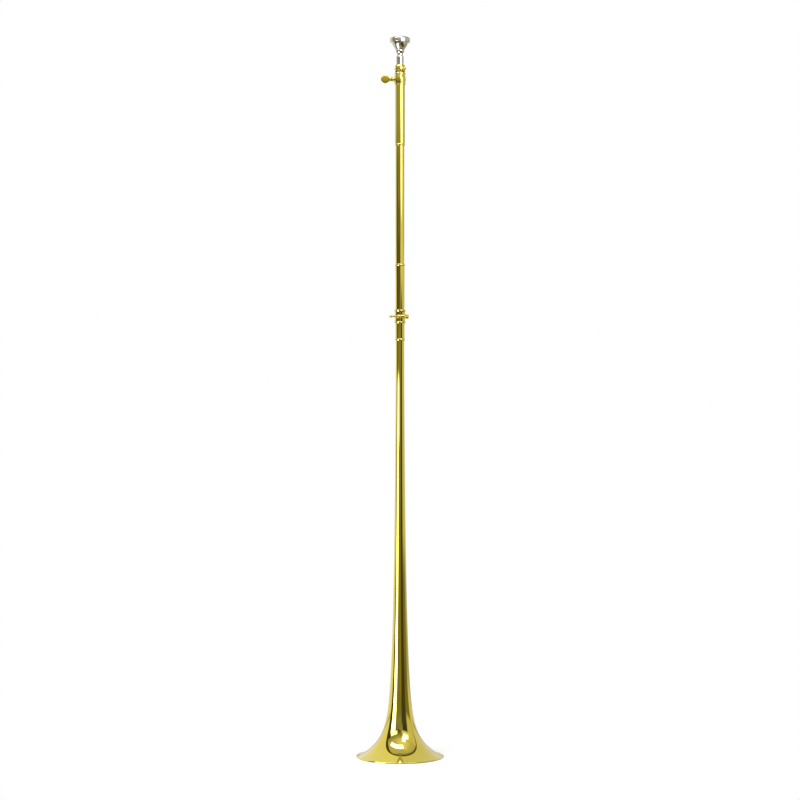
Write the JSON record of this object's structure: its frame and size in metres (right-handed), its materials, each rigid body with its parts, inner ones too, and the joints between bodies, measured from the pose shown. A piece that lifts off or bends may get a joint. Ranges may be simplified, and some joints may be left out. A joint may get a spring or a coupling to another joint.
{
  "type": "post horn",
  "caption": "Straight brass post horn with a rolled bell rim, a split-clamp joint between its sections, a clamped tuning slide and a silver-plated mouthpiece.",
  "frame": {"origin": "centre of the bell's mouth, on the plane on which the rolled rim rests", "axes": "+Z along the bore from the bell to the mouthpiece, -Y towards the front, where the joint clamp's screw runs, and -X the way the slide's thumb screw points"},
  "size_m": [0.117, 0.1168, 0.9593],
  "materials": {
    "lacquered_brass": "spun and drawn yellow brass, mirror polished, clear lacquer",
    "brass_fittings": "turned brass, polished, clear lacquer",
    "brass_screws": "turned brass, polished, bare",
    "slide_brass": "drawn brass, lapped satin along the slide's length",
    "rim_wire": "drawn brass wire, bare",
    "silver_plate": "silver plate over turned brass, mirror polished"
  },
  "bodies": {
    "bell_section": {"bell": "lacquered_brass", "rim_wire": "rim_wire", "tail_socket": "lacquered_brass", "tail_ring": "lacquered_brass", "joint_clamp": "brass_fittings"},
    "clamp_screw": {"clamp_screw_stem": "brass_screws"},
    "clamp_knob": {"clamp_screw_knob": "brass_screws"},
    "upper_section": {"main_tube": "lacquered_brass", "joint_sleeve": "lacquered_brass", "joint_sleeve_ring": "lacquered_brass", "slide_bush": "lacquered_brass", "outer_slide": "lacquered_brass", "slide_barrel": "brass_fittings", "thumb_screw_boss": "brass_fittings"},
    "thumb_screw": {"thumb_screw_stem": "brass_screws"},
    "thumb_head": {"thumb_screw_head": "brass_screws"},
    "tuning_slide": {"inner_slide": "slide_brass", "mouthpiece_receiver": "brass_fittings", "receiver_collar": "brass_fittings"},
    "lock_screw": {"lock_screw_stem": "brass_screws"},
    "lock_ball": {"lock_screw_ball": "brass_screws"},
    "mouthpiece": {"mouthpiece": "silver_plate"}
  },
  "joints": [
    {"name": "section_pull", "type": "slide", "parent": "bell_section", "child": "upper_section", "axis": [0, 0, 1], "range_m": [0, 0.035]},
    {"name": "clamp_screw_travel", "type": "slide", "parent": "bell_section", "child": "clamp_screw", "axis": [1, 0, 0], "range_m": [0, 0.0063]},
    {"name": "clamp_screw_turn", "type": "hinge", "parent": "clamp_screw", "child": "clamp_knob", "pos_m": [0.0067, -0.00853, 0.587], "axis": [1, 0, 0], "range_deg": [0, 3240]},
    {"name": "thumb_screw_travel", "type": "slide", "parent": "upper_section", "child": "thumb_screw", "axis": [-1, 0, 0], "range_m": [0, 0.0021]},
    {"name": "thumb_screw_turn", "type": "hinge", "parent": "thumb_screw", "child": "thumb_head", "pos_m": [-0.0086, 0, 0.90365], "axis": [-1, 0, 0], "range_deg": [0, 1080]},
    {"name": "tuning_slide_pull", "type": "slide", "parent": "upper_section", "child": "tuning_slide", "axis": [0, 0, 1], "range_m": [0, 0.05]},
    {"name": "lock_screw_travel", "type": "slide", "parent": "tuning_slide", "child": "lock_screw", "axis": [0.6157, -0.788, 0], "range_m": [0, 0.0016]},
    {"name": "lock_screw_turn", "type": "hinge", "parent": "lock_screw", "child": "lock_ball", "pos_m": [0.00453, -0.00579, 0.91665], "axis": [0.6157, -0.788, 0], "range_deg": [0, 1440]},
    {"name": "mouthpiece_pull", "type": "slide", "parent": "tuning_slide", "child": "mouthpiece", "axis": [0, 0, 1], "range_m": [0, 0.03]}
  ],
  "couplings": [
    {"joint": "clamp_screw_turn", "follows": "clamp_screw_travel", "rad_per_m": 8976},
    {"joint": "thumb_screw_turn", "follows": "thumb_screw_travel", "rad_per_m": 8976},
    {"joint": "lock_screw_turn", "follows": "lock_screw_travel", "rad_per_m": 15708}
  ]
}
